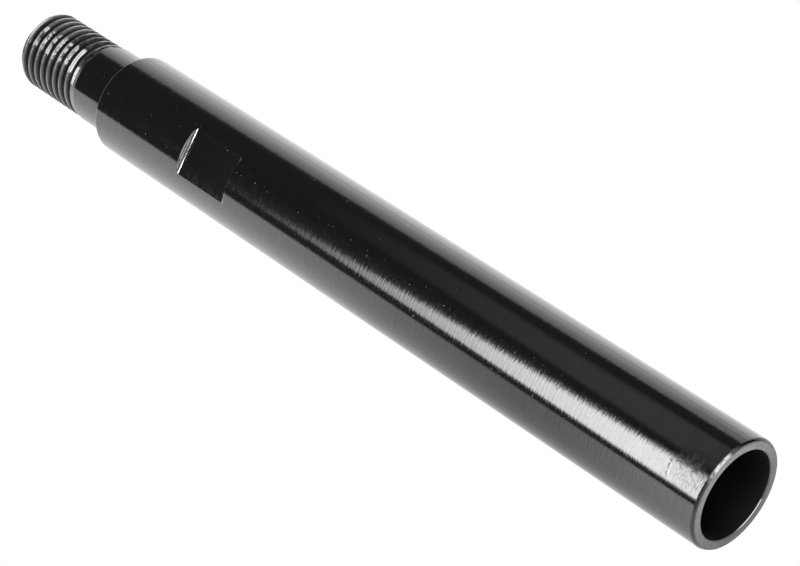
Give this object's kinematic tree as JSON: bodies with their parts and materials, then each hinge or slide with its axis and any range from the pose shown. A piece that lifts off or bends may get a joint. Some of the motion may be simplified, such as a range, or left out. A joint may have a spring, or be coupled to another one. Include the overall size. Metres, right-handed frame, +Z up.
{
  "type": "core drill extension",
  "caption": "Round steel extension bar with a male thread and plain neck at one end, a bored and tapped socket at the other, and opposite wrench flats.",
  "frame": {"origin": "centre of the open end's flat face, on the axis of the bar", "axes": "+Z runs up the axis from the open end to the tip of the male thread; the two wrench flats face +X and -X"},
  "size_m": [0.02, 0.02, 0.1818],
  "materials": {
    "black_steel": "gloss"
  },
  "bodies": {
    "root": {"extension_body": "black_steel"}
  },
  "joints": []
}
